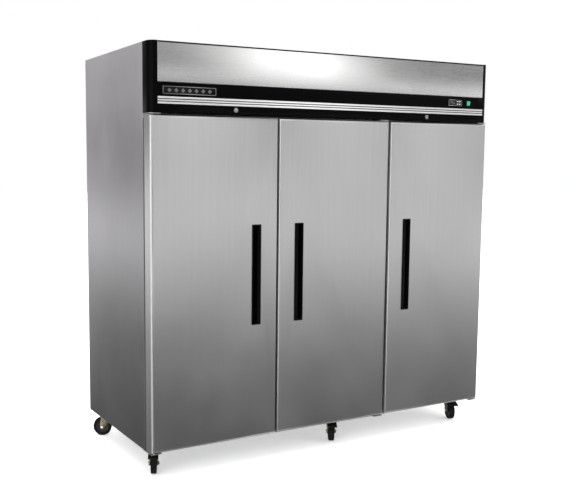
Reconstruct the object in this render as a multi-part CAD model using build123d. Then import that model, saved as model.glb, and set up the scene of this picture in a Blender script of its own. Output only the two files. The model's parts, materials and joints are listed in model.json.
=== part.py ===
from build123d import *
import os
from math import cos, radians, sin

# Three-door upright reach-in refrigerator with a top-mounted condensing unit.
# Millimetres. +X to the right, front faces -Y, +Z up, origin on the floor under the middle.

# ---- Overall ----
overall_width = 2057.0
overall_depth = 850.0  # handle bezels to the end of the cord gland
overall_height = 2030.0
header_height = 318.0
front_proud = 3.0  # what stands proud of the door faces
gland_proud = 12.0  # what stands proud of the back panel

# ---- Cabinet walls ----
sheet = 2.0
foam = 52.0
liner = 2.0
top_flange = 20.0
mullion_width = 90.0
mullion_depth = 60.0

# ---- Doors ----
door_thickness = 64.0
door_gap = 12.0  # between two doors
door_side_inset = 2.0
door_top_gap = 6.0
door_bottom_gap = 2.0
door_skin = 1.5
gasket_gap = 12.0
gasket_inset = 16.0
gasket_width = 20.0
pivot_inset = 16.0  # hinge axis in from the door's side edge and its front face
pivot_pin_r = 6.0
pivot_pin_length = 18.0
bracket_plate = 4.0
bracket_width = 56.0

# ---- Handles ----
handle_width = 50.0
handle_height = 490.0
handle_bottom_z = 703.0
handle_edge_offset = 117.0  # handle centre to the door's free edge
handle_flange = 4.0
handle_wall = 2.5
handle_depth = 30.0
grip_width = 13.0
grip_thickness = 5.0

# ---- Header ----
cap_width = 40.0
cap_corner_r = 36.0
moulding = 3.0
fascia_height = 136.0
trim_low = 40.0  # above the underside of the header
trim_height = 33.0
trim_thickness = 4.0
trim_groove = 1.0
badge_width = 274.0
badge_height = 38.0
badge_left_gap = 23.5
badge_lift = 82.0
controller_x = 786.0
controller_width = 96.0
controller_height = 34.0
controller_depth = 58.0
controls_lift = 103.0  # control centres above the underside of the header
switch_x = 884.0
switch_width = 22.0
switch_r = 15.0
lock_x = 586.0
lock_lift = 21.0
lock_r = 8.0
lock_bezel_r = 11.0
cam_length = 32.0
cam_width = 10.0
panel_gap = 2.0
panel_depth = 20.0
panel_pin_r = 3.0

# ---- Shelving ----
shelf_count = 3
first_shelf_z = 420.0
shelf_pitch = 360.0
shelf_wire = 6.0
slat_wire = 4.0
slat_pitch = 38.0
shelf_side_gap = 12.0
standard_width = 20.0
standard_depth = 8.0
clip_reach = 22.0
clip_height = 14.0

# ---- Evaporator ----
evaporator_width = 1120.0
evaporator_height = 130.0
evaporator_front_y = -180.0
evaporator_back_y = 300.0
evaporator_fan_x = 280.0
evaporator_fan_r = 50.0

# ---- Condensing unit ----
compressor_x = 430.0
compressor_y = 80.0
compressor_r = 85.0
compressor_height = 180.0
condenser_width = 440.0
condenser_height = 240.0
condenser_x = -300.0
condenser_front_y = -240.0
condenser_depth = 70.0
shroud_depth = 50.0
condenser_fan_r = 98.0
line_r = 5.0
suction_r = 7.0
control_box_x = 870.0
gland_lift = 78.0
gland_bore_r = 4.5
gland_r = 14.0

# ---- Casters ----
wheel_r = 50.0
wheel_width = 28.0
caster_trail = 35.0
axle_r = 6.0
fork_leg = 4.0
fork_gap = 3.0
crown_r = 27.0
crown_top_gap = 9.0  # below the underside of the cabinet
crown_thickness = 14.0
kingpin_r = 6.0
caster_plate = 4.0
plate_length = 100.0
plate_depth = 80.0
caster_rise = 35.0  # wheel top to the underside of the cabinet
caster_side_gap = 30.5  # these gaps leave a turning wheel room inside the cabinet's edges
caster_front_gap = 24.0
caster_back_gap = 28.0
caster_middle_x = 100.0

# ---- Clearances ----
running = 0.05
clear = 0.3

# ---- Derived places ----
half_width = overall_width / 2
door_face_y = -overall_depth / 2 + front_proud
door_back_y = door_face_y + door_thickness
body_front_y = door_back_y + gasket_gap
body_back_y = overall_depth / 2 - gland_proud
header_z = overall_height - header_height
caster_height = 2 * wheel_r + caster_rise
wall = sheet + foam + liner
cavity_x = half_width - wall
cavity_back_y = body_back_y - wall
cavity_floor_z = caster_height + wall
cavity_top_z = header_z - wall
door_bottom_z = caster_height + door_bottom_gap
door_top_z = header_z - door_top_gap
door_width = (overall_width - 2 * door_side_inset - 2 * door_gap) / 3
door_pitch = door_width + door_gap
mullion_x = door_pitch / 2
fascia_top_z = header_z + fascia_height
control_z = header_z + controls_lift
lock_z = header_z + lock_lift
fascia_x = half_width - cap_width


def block(xs, ys, zs):
    """A box from three pairs of limits, each given in either order."""
    sizes = [abs(pair[1] - pair[0]) for pair in (xs, ys, zs)]
    middle = [(pair[0] + pair[1]) / 2 for pair in (xs, ys, zs)]
    return Pos(*middle) * Box(*sizes)


def rod_x(xs, y, z, r):
    return Pos((xs[0] + xs[1]) / 2, y, z) * Rot(0, 90, 0) * Cylinder(r, abs(xs[1] - xs[0]))


def rod_y(x, ys, z, r):
    return Pos(x, (ys[0] + ys[1]) / 2, z) * Rot(90, 0, 0) * Cylinder(r, abs(ys[1] - ys[0]))


def rod_z(x, y, zs, r):
    return Pos(x, y, (zs[0] + zs[1]) / 2) * Cylinder(r, abs(zs[1] - zs[0]))


def group(pieces):
    """Separate solids that share one node."""
    solids = []
    for piece in pieces:
        solids += list(piece.solids())
    return Compound(children=solids)


def save(name, shape):
    shape.label = name
    export_step(shape, f"parts/{name}.step")


# ---- Cabinet ----
def side_panel(side):
    outer = side * half_width
    panel = block((outer - side * sheet, outer), (body_front_y, body_back_y), (caster_height, overall_height))
    panel += block((side * cavity_x, outer), (body_front_y, body_front_y + sheet), (caster_height, header_z))
    panel += block(
        (outer - side * top_flange, outer),
        (body_front_y, body_back_y - sheet),
        (overall_height - sheet, overall_height),
    )
    return panel


def back_panel():
    half = half_width - sheet
    panel = block((-half, half), (body_back_y - sheet, body_back_y), (caster_height, overall_height))
    slots = []
    for bank in (-1, 0, 1):
        for row in range(9):
            centre = Pos(bank * half * 0.6, body_back_y, header_z + 90 + row * 22)
            slots.append(centre * Rot(90, 0, 0) * extrude(SlotOverall(260, 8), 2 * sheet, both=True))
    panel -= slots
    panel -= rod_y(control_box_x, (body_back_y - 2 * sheet, body_back_y + sheet), header_z + gland_lift, gland_r + clear)
    return panel


def floor_panel(z_low, z_high, flange_z):
    """Bottom or deck sheet, with the front flange that covers the foam's edge."""
    half = half_width - sheet
    panel = block((-half, half), (body_front_y + sheet, body_back_y - sheet), (z_low, z_high))
    panel += block((-cavity_x, cavity_x), (body_front_y, body_front_y + sheet), flange_z)
    return panel


def foam_insulation():
    half = half_width - sheet
    body = block((-half, half), (body_front_y + sheet, body_back_y - sheet), (caster_height + sheet, header_z - sheet))
    return body - block(
        (-cavity_x - liner, cavity_x + liner),
        (body_front_y, cavity_back_y + liner),
        (cavity_floor_z - liner, cavity_top_z + liner),
    )


def inner_liner():
    tub = block(
        (-cavity_x - liner, cavity_x + liner),
        (body_front_y + sheet, cavity_back_y + liner),
        (cavity_floor_z - liner, cavity_top_z + liner),
    )
    return tub - block((-cavity_x, cavity_x), (body_front_y, cavity_back_y), (cavity_floor_z, cavity_top_z))


def mullion(x):
    post_x = (x - mullion_width / 2, x + mullion_width / 2)
    post = block(post_x, (body_front_y, body_front_y + mullion_depth), (cavity_floor_z, cavity_top_z))
    return post - block(
        (post_x[0] + sheet, post_x[1] - sheet),
        (body_front_y + sheet, body_front_y + mullion_depth - sheet),
        (cavity_floor_z, cavity_top_z),
    )


# ---- Shelving ----
mullion_back_y = body_front_y + mullion_depth
shelf_front_y = mullion_back_y + standard_depth + 6
shelf_back_y = cavity_back_y - standard_depth - 6
standard_low_z = cavity_floor_z + 40
standard_high_z = cavity_top_z - evaporator_height - 60
sections = (
    ("left", -cavity_x, -mullion_x),
    ("middle", -mullion_x, mullion_x),
    ("right", mullion_x, cavity_x),
)


def post_places():
    """Each shelf standard as its x range, its y range and the way its clips reach."""
    places = []
    half = standard_width / 2
    for side in (-1, 1):
        for y in (shelf_front_y + 90, shelf_back_y - 90):
            post_x = (side * cavity_x, side * (cavity_x - standard_depth))
            places.append((post_x, (y - half, y + half), (-side, 0)))
        for offset in (-22, 22):
            x = side * mullion_x + offset
            places.append(((x - half, x + half), (mullion_back_y, mullion_back_y + standard_depth), (0, 1)))
            places.append(((x - half, x + half), (cavity_back_y - standard_depth, cavity_back_y), (0, -1)))
    return places


def shelf_standards():
    return group([block(xs, ys, (standard_low_z, standard_high_z)) for xs, ys, _ in post_places()])


def shelf_clip(xs, ys, reach, shelf_z):
    top = shelf_z - shelf_wire / 2
    if reach[0]:
        face = xs[1]
        xs = (face, face + reach[0] * clip_reach)
        ys = (ys[0] + 2, ys[1] - 2)
    else:
        face = max(ys) if reach[1] > 0 else min(ys)
        ys = (face, face + reach[1] * clip_reach)
        xs = (xs[0] + 2, xs[1] - 2)
    return block(xs, ys, (top - clip_height, top))


def shelf_heights():
    return [first_shelf_z + level * shelf_pitch for level in range(shelf_count)]


def shelf_clips():
    clips = []
    for z in shelf_heights():
        clips += [shelf_clip(xs, ys, reach, z) for xs, ys, reach in post_places()]
    return group(clips)


def section_span(low, high):
    """The shelf's x range in a section, clear of the wall standards and its neighbour."""
    low_gap = standard_depth + shelf_side_gap if low <= -cavity_x else shelf_side_gap / 2
    high_gap = standard_depth + shelf_side_gap if high >= cavity_x else shelf_side_gap / 2
    return low + low_gap, high - high_gap


def wire_shelf(low, high, z):
    x0, x1 = section_span(low, high)
    rim_z = (z - shelf_wire / 2, z + shelf_wire / 2)
    shelf = block((x0, x1), (shelf_front_y, shelf_back_y), rim_z)
    shelf -= block((x0 + shelf_wire, x1 - shelf_wire), (shelf_front_y + shelf_wire, shelf_back_y - shelf_wire), rim_z)
    count = int((x1 - x0) / slat_pitch)
    step = (x1 - x0) / count
    slat_z = (rim_z[1] - slat_wire, rim_z[1])
    bars = []
    for index in range(1, count):
        x = x0 + index * step
        bars.append(block((x - slat_wire / 2, x + slat_wire / 2), (shelf_front_y, shelf_back_y), slat_z))
    for share in (0.3, 0.7):
        y = shelf_front_y + share * (shelf_back_y - shelf_front_y)
        bars.append(block((x0, x1), (y - slat_wire / 2, y + slat_wire / 2), (rim_z[0], rim_z[1] - 1)))
    return shelf + bars


def wire_shelves():
    return group([wire_shelf(low, high, z) for _, low, high in sections for z in shelf_heights()])


# ---- Fans ----
def fan(x, y, z, radius, hub_r, depth, blades, shaft_r):
    """Axial fan about the y axis, centred at (x, y, z)."""
    wheel = Cylinder(hub_r, depth)
    for index in range(blades):
        blade = Pos((hub_r + radius) / 2 - 1, 0, 0) * Rot(28, 0, 0) * Box(radius - hub_r + 2, radius * 0.55, 2)
        wheel += Rot(0, 0, index * 360 / blades) * blade
    wheel &= Cylinder(radius, depth + 40)
    wheel -= Cylinder(shaft_r + running, depth + 40)
    return Pos(x, y, z) * Rot(90, 0, 0) * wheel


def motor(x, z, seat_y, motor_y, motor_r, motor_length, reach, shaft_front_y, shaft_r):
    """Fan motor behind its fan, on a strap whose legs stand on a wall at seat_y."""
    leg = 5.0
    body = rod_y(x, (motor_y, motor_y + motor_length), z, motor_r)
    body += rod_y(x, (shaft_front_y, motor_y), z, shaft_r)
    body += block((x - reach, x + reach), (motor_y, motor_y + leg), (z - 8, z + 8))
    for side in (-1, 1):
        body += block((x + side * (reach - leg), x + side * reach), (seat_y, motor_y + leg), (z - 8, z + 8))
    return body


shaft_r = 4.0
deck_z = header_z
evaporator_low_z = cavity_top_z - evaporator_height
evaporator_fan_z = cavity_top_z - evaporator_height / 2
condenser_back_y = condenser_front_y + condenser_depth
shroud_back_y = condenser_back_y + clear + shroud_depth
condenser_fan_z = deck_z + condenser_height / 2
condenser_fan_y = shroud_back_y - shroud_depth / 2
evaporator_fan_y = evaporator_front_y + 20


def evaporator_housing():
    half = evaporator_width / 2
    shell = block((-half, half), (evaporator_front_y, evaporator_back_y), (evaporator_low_z, cavity_top_z))
    shell -= block(
        (-half + sheet, half - sheet),
        (evaporator_front_y + sheet, evaporator_back_y - sheet),
        (evaporator_low_z + sheet, cavity_top_z),
    )
    for side in (-1, 1):
        mouth_y = (evaporator_front_y - sheet, evaporator_front_y + 2 * sheet)
        shell -= rod_y(side * evaporator_fan_x, mouth_y, evaporator_fan_z, evaporator_fan_r + 4)
    for index in range(-9, 10):
        slot_x = index * 52.0
        slot_y = (evaporator_back_y - 2 * sheet, evaporator_back_y + sheet)
        shell -= block((slot_x - 18, slot_x + 18), slot_y, (evaporator_low_z + 30, cavity_top_z - 30))
    return shell


def finned_coil(xs, ys, zs, tube_r, stub):
    """Fin block with the hairpin tubes standing out of both ends."""
    coil = block(xs, ys, zs)
    rows = 4
    for row in range(rows):
        z = zs[0] + (row + 0.5) * (zs[1] - zs[0]) / rows
        for share in (0.3, 0.7):
            y = ys[0] + share * (ys[1] - ys[0])
            coil += rod_x((xs[0] - stub, xs[1] + stub), y, z, tube_r)
    return coil


def evaporator_coil():
    half = evaporator_width / 2 - 40
    lift = 12.0
    coil = finned_coil((-half, half), (40, 240), (evaporator_low_z + lift, cavity_top_z), line_r, 12)
    for side in (-1, 1):
        foot_x = (side * (half - 20), side * (half - 24))
        coil += block(foot_x, (60, 220), (evaporator_low_z + sheet, evaporator_low_z + lift))
    return coil


def condenser():
    xs = (condenser_x - condenser_width / 2, condenser_x + condenser_width / 2)
    coil = finned_coil(xs, (condenser_front_y, condenser_back_y), (deck_z, deck_z + condenser_height), line_r, 15)
    shroud_y = (condenser_back_y + clear, shroud_back_y)
    shroud = block(xs, shroud_y, (deck_z, deck_z + condenser_height))
    shroud -= block(
        (xs[0] + sheet, xs[1] - sheet),
        (shroud_y[0], shroud_y[1] - sheet),
        (deck_z + sheet, deck_z + condenser_height - sheet),
    )
    shroud -= rod_y(condenser_x, shroud_y, condenser_fan_z, condenser_fan_r + 7)
    return group([coil, shroud])


def fan_motors():
    pieces = []
    for side in (-1, 1):
        pieces.append(
            motor(
                side * evaporator_fan_x,
                evaporator_fan_z,
                evaporator_front_y + sheet,
                evaporator_fan_y + 26,
                22,
                60,
                evaporator_fan_r + 12,
                evaporator_fan_y - 6,
                shaft_r,
            )
        )
    motor_y = shroud_back_y + 18
    reach = condenser_fan_r + 20
    pieces.append(
        motor(condenser_x, condenser_fan_z, shroud_back_y, motor_y, 40, 70, reach, condenser_fan_y - 8, shaft_r)
    )
    return group(pieces)


# ---- Compressor and pipes ----
compressor_low_z = deck_z + 18
compressor_top_z = compressor_low_z + compressor_height
stub_top_z = compressor_top_z + 16


def compressor():
    can = Cylinder(compressor_r, compressor_height)
    can = fillet(can.edges().sort_by(Axis.Z)[-1], compressor_r * 0.6)
    can = fillet(can.edges().sort_by(Axis.Z)[0], compressor_r * 0.3)
    can = Pos(compressor_x, compressor_y, compressor_low_z + compressor_height / 2) * can
    foot_x, foot_y = compressor_r + 15, compressor_r - 15
    can += block(
        (compressor_x - foot_x, compressor_x + foot_x),
        (compressor_y - foot_y, compressor_y + foot_y),
        (compressor_low_z - 4, compressor_low_z + 4),
    )
    for side_x in (-1, 1):
        for side_y in (-1, 1):
            x = compressor_x + side_x * (foot_x - 16)
            y = compressor_y + side_y * (foot_y - 16)
            can += rod_z(x, y, (deck_z, compressor_low_z - 4), 12)
    can += rod_z(compressor_x - 30, compressor_y, (compressor_top_z - 20, stub_top_z), line_r)
    can += rod_z(compressor_x + 30, compressor_y, (compressor_top_z - 20, stub_top_z), suction_r)
    return can


def tube(points, radius, bend):
    path = FilletPolyline(*points, radius=bend)
    return sweep(Plane(origin=path @ 0, z_dir=path % 0) * Circle(radius), path=path)


def refrigerant_lines():
    stub_x = condenser_x + condenser_width / 2 + 15
    row = condenser_height / 4
    inlet_z = deck_z + 3.5 * row
    outlet_z = deck_z + 0.5 * row
    tube_y = condenser_front_y + 0.7 * condenser_depth
    high_z = stub_top_z + 40
    discharge = tube(
        [
            (compressor_x - 30, compressor_y, stub_top_z),
            (compressor_x - 30, compressor_y, high_z),
            (stub_x + 50, compressor_y, high_z),
            (stub_x + 50, tube_y, high_z),
            (stub_x + 50, tube_y, inlet_z),
            (stub_x, tube_y, inlet_z),
        ],
        line_r,
        14,
    )
    drop_x, drop_y = stub_x + 90, 60
    liquid = tube(
        [
            (stub_x, tube_y, outlet_z),
            (drop_x, tube_y, outlet_z),
            (drop_x, drop_y, outlet_z),
            (drop_x, drop_y, deck_z),
        ],
        line_r,
        14,
    )
    drier_y = (tube_y + drop_y) / 2
    liquid += rod_y(drop_x, (drier_y - 55, drier_y + 55), outlet_z, 14)
    rise_x, rise_y = compressor_x - 180, compressor_y + 170
    suction = tube(
        [
            (rise_x, rise_y, deck_z),
            (rise_x, rise_y, high_z - 20),
            (compressor_x + 30, rise_y, high_z - 20),
            (compressor_x + 30, compressor_y, high_z - 20),
            (compressor_x + 30, compressor_y, stub_top_z),
        ],
        suction_r,
        18,
    )
    return group([discharge, liquid, suction])


# ---- Electrical ----
control_box_y = (body_back_y - sheet - 90, body_back_y - sheet)
gland_z = header_z + gland_lift
gland_seat = 8.0


def control_box():
    box = block((control_box_x - 90, control_box_x + 90), control_box_y, (deck_z, deck_z + 120))
    box = fillet(box.edges().filter_by(Axis.Z), 4)
    return box - rod_y(control_box_x, (control_box_y[1] - gland_seat, control_box_y[1]), gland_z, gland_r + clear)


def cord_gland():
    inner_y = control_box_y[1] - gland_seat + clear
    body = rod_y(control_box_x, (inner_y, body_back_y), gland_z, gland_r)
    nut = Pos(control_box_x, body_back_y + 2.5, gland_z) * Rot(90, 0, 0)
    body += nut * extrude(RegularPolygon(gland_r + 5, 6), 2.5, both=True)
    body += rod_y(control_box_x, (body_back_y, overall_depth / 2), gland_z, gland_r - 3)
    return body - rod_y(control_box_x, (inner_y - 1, overall_depth / 2 + 1), gland_z, gland_bore_r)


# ---- Header ----
panel_top_z = overall_height - front_proud
panel_low_z = fascia_top_z + panel_gap
panel_x = fascia_x - 1.5
panel_pivot_y = door_face_y + 12
panel_pivot_z = panel_top_z - 10


def end_cap(side):
    xs = (half_width - cap_width, half_width)
    cap = block(xs, (door_face_y, body_front_y), (header_z, overall_height))
    corner = cap.edges().filter_by(Axis.Z).group_by(Axis.Y)[0].sort_by(Axis.X)[-1]
    cap = fillet(corner, cap_corner_r)
    hollow = block(
        (xs[0] + moulding, xs[1] - moulding),
        (door_face_y + moulding, body_front_y),
        (header_z + moulding, overall_height - moulding),
    )
    corner = hollow.edges().filter_by(Axis.Z).group_by(Axis.Y)[0].sort_by(Axis.X)[-1]
    cap -= fillet(corner, cap_corner_r - moulding)
    cap += rod_x((panel_x - 8, xs[0] + moulding), panel_pivot_y, panel_pivot_z, panel_pin_r)
    return cap if side > 0 else mirror(cap, about=Plane.YZ)


switch_pivot_y = door_face_y + 10
switch_pin_r = 2.0
switch_lug = 4.0
switch_play = 0.5
cam_y = (door_face_y + 32, door_face_y + 35)


def lock_slot(x, z_range):
    """Passage for a lock's cam as it turns down into the door below."""
    return block((x - cam_width / 2 - 3, x + cam_length), (cam_y[0] - 2, cam_y[1] + 2), z_range)


def header_fascia():
    xs = (-fascia_x, fascia_x)
    fascia = block(xs, (door_face_y, body_front_y), (header_z, fascia_top_z))
    fascia -= block(xs, (door_face_y + moulding, body_front_y), (header_z + moulding, fascia_top_z - moulding))
    trim_z = (header_z + trim_low, header_z + trim_low + trim_height)
    fascia -= block(xs, (door_face_y, door_face_y + trim_thickness / 2), trim_z)
    wall_y = (door_face_y - 1, door_face_y + moulding + 1)
    half_w = controller_width / 2 - 4 + clear
    half_h = controller_height / 2 - 3 + clear
    fascia -= block((controller_x - half_w, controller_x + half_w), wall_y, (control_z - half_h, control_z + half_h))
    half_w = switch_width / 2 + switch_play
    half_h = switch_r - 1.4
    fascia -= block((switch_x - half_w, switch_x + half_w), wall_y, (control_z - half_h, control_z + half_h))
    for side in (-1, 1):
        lug_x = (switch_x + side * half_w, switch_x + side * (half_w + switch_lug))
        lug = block(lug_x, (door_face_y + moulding, switch_pivot_y + 6), (control_z - 6, control_z + 6))
        fascia += lug - rod_x(lug_x, switch_pivot_y, control_z, switch_pin_r + running)
        fascia -= rod_y(side * lock_x, wall_y, lock_z, lock_r + running)
        fascia -= lock_slot(side * lock_x, (header_z, header_z + moulding))
    return fascia


def header_trim_strip():
    low_z = header_z + trim_low + clear
    high_z = header_z + trim_low + trim_height - clear
    front_y = door_face_y - trim_thickness / 2
    strip = block((-fascia_x + 1, fascia_x - 1), (front_y, door_face_y + trim_thickness / 2), (low_z, high_z))
    grooves = 5
    for index in range(grooves):
        z = low_z + (index + 1) * (high_z - low_z) / (grooves + 1)
        groove_z = (z - trim_groove / 2, z + trim_groove / 2)
        strip -= block((-fascia_x, fascia_x), (front_y, front_y + trim_groove), groove_z)
    return strip


def badge_plate():
    x0 = -fascia_x + badge_left_gap
    z0 = header_z + badge_lift
    plate = block((x0, x0 + badge_width), (door_face_y - 2, door_face_y), (z0, z0 + badge_height))
    rim = 2.5
    rim_y = (door_face_y - front_proud, door_face_y - 2)
    frame = block((x0, x0 + badge_width), rim_y, (z0, z0 + badge_height))
    frame -= block((x0 + rim, x0 + badge_width - rim), rim_y, (z0 + rim, z0 + badge_height - rim))
    return plate + frame


def temperature_controller():
    half_w = controller_width / 2
    half_h = controller_height / 2
    bezel_y = (door_face_y - 2, door_face_y)
    unit = block((controller_x - half_w, controller_x + half_w), bezel_y, (control_z - half_h, control_z + half_h))
    unit = fillet(unit.edges().filter_by(Axis.Y), 3)
    body_y = (door_face_y, door_face_y + controller_depth)
    body_x = (controller_x - half_w + 4, controller_x + half_w - 4)
    unit += block(body_x, body_y, (control_z - half_h + 3, control_z + half_h - 3))
    window_x = (controller_x - half_w + 14, controller_x + half_w - 28)
    return unit - block(window_x, (bezel_y[0], bezel_y[0] + 1), (control_z - 9, control_z + 9))


def power_switch():
    xs = (switch_x - switch_width / 2, switch_x + switch_width / 2)
    rocker = rod_x(xs, switch_pivot_y, control_z, switch_r)
    face = Pos(switch_x, switch_pivot_y, control_z) * Rot(6, 0, 0)
    rocker &= face * Pos(0, 5, 0) * Box(switch_width + 2, 34, 2 * switch_r + 2)
    reach = switch_width / 2 + switch_play + switch_lug - 1
    return rocker + rod_x((switch_x - reach, switch_x + reach), switch_pivot_y, control_z, switch_pin_r)


def lock_barrel(x):
    lock = rod_y(x, (door_face_y - front_proud, door_face_y - clear), lock_z, lock_bezel_r)
    lock += rod_y(x, (door_face_y - clear, cam_y[1]), lock_z, lock_r)
    lock += block((x, x + cam_length - cam_width / 2), cam_y, (lock_z - cam_width / 2, lock_z + cam_width / 2))
    lock += rod_y(x + cam_length - cam_width / 2, cam_y, lock_z, cam_width / 2)
    keyway_y = (door_face_y - front_proud, door_face_y - front_proud + 1)
    return lock - block((x - 1, x + 1), keyway_y, (lock_z - 4, lock_z + 4))


def header_panel():
    outer_y = (door_face_y, door_face_y + panel_depth)
    panel = block((-panel_x, panel_x), outer_y, (panel_low_z, panel_top_z))
    panel -= block(
        (-panel_x + sheet, panel_x - sheet),
        (door_face_y + sheet, outer_y[1]),
        (panel_low_z + sheet, panel_top_z - sheet),
    )
    return panel - rod_x((-panel_x - 1, panel_x + 1), panel_pivot_y, panel_pivot_z, panel_pin_r + running)


# ---- Doors ----
# Each door: name, centre x, and +1 where its hinge is at its right edge or -1 at its left.
doors = (("left", -door_pitch, -1), ("middle", 0.0, 1), ("right", door_pitch, 1))
pivot_y = door_face_y + pivot_inset


def pivot_x(centre, hinge_side):
    return centre + hinge_side * (door_width / 2 - pivot_inset)


def handle_x(centre, hinge_side):
    return centre - hinge_side * (door_width / 2 - handle_edge_offset)


def handle_block(centre, hinge_side, grow, depth_y):
    """The handle cup's outline, grown all round, between two depths."""
    x = handle_x(centre, hinge_side)
    half_w = handle_width / 2 - handle_flange + grow
    inset = handle_flange - grow
    zs = (handle_bottom_z + inset, handle_bottom_z + handle_height - inset)
    return block((x - half_w, x + half_w), depth_y, zs)


def pivot_holes(centre, hinge_side, radius, depth):
    x = pivot_x(centre, hinge_side)
    low = rod_z(x, pivot_y, (door_bottom_z, door_bottom_z + depth), radius)
    return low + rod_z(x, pivot_y, (door_top_z - depth, door_top_z), radius)


def door_skin_pan(centre, hinge_side):
    half = door_width / 2
    pan = block((centre - half, centre + half), (door_face_y, door_back_y), (door_bottom_z, door_top_z))
    pan -= block(
        (centre - half + door_skin, centre + half - door_skin),
        (door_face_y + door_skin, door_back_y),
        (door_bottom_z + door_skin, door_top_z - door_skin),
    )
    pan -= handle_block(centre, hinge_side, clear, (door_face_y, door_face_y + door_skin))
    pan -= pivot_holes(centre, hinge_side, pivot_pin_r + 1, door_skin)
    for side in (-1, 1):
        pan -= lock_slot(side * lock_x, (door_top_z - door_skin, door_top_z))
    return pan


def door_core(centre, hinge_side):
    """Foamed inner panel that fills the pan, with pockets for the pins, the handle and a lock's cam."""
    half = door_width / 2 - door_skin
    zs = (door_bottom_z + door_skin, door_top_z - door_skin)
    core = block((centre - half, centre + half), (door_face_y + door_skin, door_back_y), zs)
    core -= handle_block(centre, hinge_side, clear, (door_face_y, door_face_y + handle_depth + clear))
    core -= pivot_holes(centre, hinge_side, pivot_pin_r + running, pivot_pin_length + 4)
    for side in (-1, 1):
        core -= lock_slot(side * lock_x, (door_top_z - 12, door_top_z))
    return core


def door_gasket(centre):
    half = door_width / 2 - gasket_inset
    zs = (door_bottom_z + gasket_inset, door_top_z - gasket_inset)
    ys = (door_back_y, body_front_y - clear)
    ring = block((centre - half, centre + half), ys, zs)
    return ring - block(
        (centre - half + gasket_width, centre + half - gasket_width),
        ys,
        (zs[0] + gasket_width, zs[1] - gasket_width),
    )


def door_handle(centre, hinge_side):
    """Recessed pull: a flanged cup with a grip lip along the side nearest the free edge."""
    x = handle_x(centre, hinge_side)
    zs = (handle_bottom_z, handle_bottom_z + handle_height)
    bezel_y = (door_face_y - front_proud, door_face_y)
    handle = block((x - handle_width / 2, x + handle_width / 2), bezel_y, zs)
    handle = fillet(handle.edges().filter_by(Axis.Y), 3)
    handle += handle_block(centre, hinge_side, 0, (door_face_y, door_face_y + handle_depth))
    inside_y = (bezel_y[0], door_face_y + handle_depth - handle_wall)
    handle -= handle_block(centre, hinge_side, -handle_wall, inside_y)
    free_x = x - hinge_side * (handle_width / 2 - handle_flange - handle_wall)
    grip_x = (free_x, free_x + hinge_side * grip_width)
    grip_z = (zs[0] + handle_flange + handle_wall, zs[1] - handle_flange - handle_wall)
    handle += block(grip_x, (bezel_y[0] + 0.5, bezel_y[0] + 0.5 + grip_thickness), grip_z)
    return handle


def hinge_brackets():
    """Pivot brackets: angles above the doors, flat tabs under them, each with its pin."""
    brackets = []
    for _, centre, hinge_side in doors:
        x = pivot_x(centre, hinge_side)
        xs = (x - hinge_side * (bracket_width - pivot_inset), x + hinge_side * pivot_inset)
        tab_front_y = pivot_y - 9
        plate_z = (door_top_z + 1.7, door_top_z + 1.7 + bracket_plate)
        upper = block(xs, (tab_front_y, body_front_y), plate_z)
        leg_z = (door_top_z - gasket_inset + 2, plate_z[0])
        upper += block(xs, (body_front_y - bracket_plate, body_front_y), leg_z)
        upper += rod_z(x, pivot_y, (door_top_z - pivot_pin_length, plate_z[0]), pivot_pin_r)
        lower = block(xs, (tab_front_y, body_front_y + 26), (caster_height - bracket_plate, caster_height))
        lower += rod_z(x, pivot_y, (caster_height, door_bottom_z + pivot_pin_length), pivot_pin_r)
        brackets += [upper, lower]
    return group(brackets)


# ---- Casters ----
# Each caster: name, swivel x, swivel y, heading in degrees of its trail from +Y, and its brake.
caster_x = half_width - wheel_r - caster_side_gap
caster_front_y = body_front_y + wheel_r + caster_front_gap
caster_back_y = body_back_y - wheel_r - caster_back_gap
casters = (
    ("front_left", -caster_x, caster_front_y, 153.0, True),
    ("front_middle", caster_middle_x, caster_front_y, 150.0, True),
    ("front_right", caster_x, caster_front_y, 157.0, True),
    ("back_left", -caster_x, caster_back_y, 63.0, False),
    ("back_middle", caster_middle_x, caster_back_y, 35.0, False),
    ("back_right", caster_x, caster_back_y, -20.0, False),
)
crown_top_z = caster_height - crown_top_gap
crown_low_z = crown_top_z - crown_thickness
leg_x = wheel_width / 2 + fork_gap
brake_pin_y = caster_trail - 3
brake_pin_z = 2 * wheel_r + 6.5
brake_pin_r = 3.0


def place(x, y, heading, shape):
    return Pos(x, y, 0) * Rot(0, 0, heading) * shape


def caster_plate_solid(x, y):
    low_z = caster_height - caster_plate
    plate = block((x - plate_length / 2, x + plate_length / 2), (y - plate_depth / 2, y + plate_depth / 2), (low_z, caster_height))
    plate = fillet(plate.edges().filter_by(Axis.Z), 8)
    plate += rod_z(x, y, (crown_top_z + clear, low_z), crown_r - 3)
    plate += rod_z(x, y, (crown_low_z - 6, low_z), kingpin_r)
    plate += rod_z(x, y, (crown_low_z - 6, crown_low_z - clear), kingpin_r + 3)
    for side_x in (-1, 1):
        for side_y in (-1, 1):
            bolt_x = x + side_x * (plate_length / 2 - 12)
            bolt_y = y + side_y * (plate_depth / 2 - 12)
            head = Pos(bolt_x, bolt_y, low_z - 2.5) * extrude(RegularPolygon(7, 6), 2.5, both=True)
            plate += head
    return plate


def fork_leg_outline():
    """One leg in the y-z plane, from the crown down to the axle's eye."""
    foot_r = 13.0
    points = [
        (-crown_r + 5, crown_low_z + 4),
        (caster_trail + 8, crown_low_z + 4),
        (caster_trail + 8, 2 * wheel_r - 6),
        (caster_trail + foot_r, wheel_r),
        (caster_trail - foot_r, wheel_r),
        (-crown_r + 5, crown_low_z - 12),
    ]
    outline = make_face(Polyline(*points, close=True))
    return outline + Pos(caster_trail, wheel_r) * Circle(foot_r)


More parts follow.
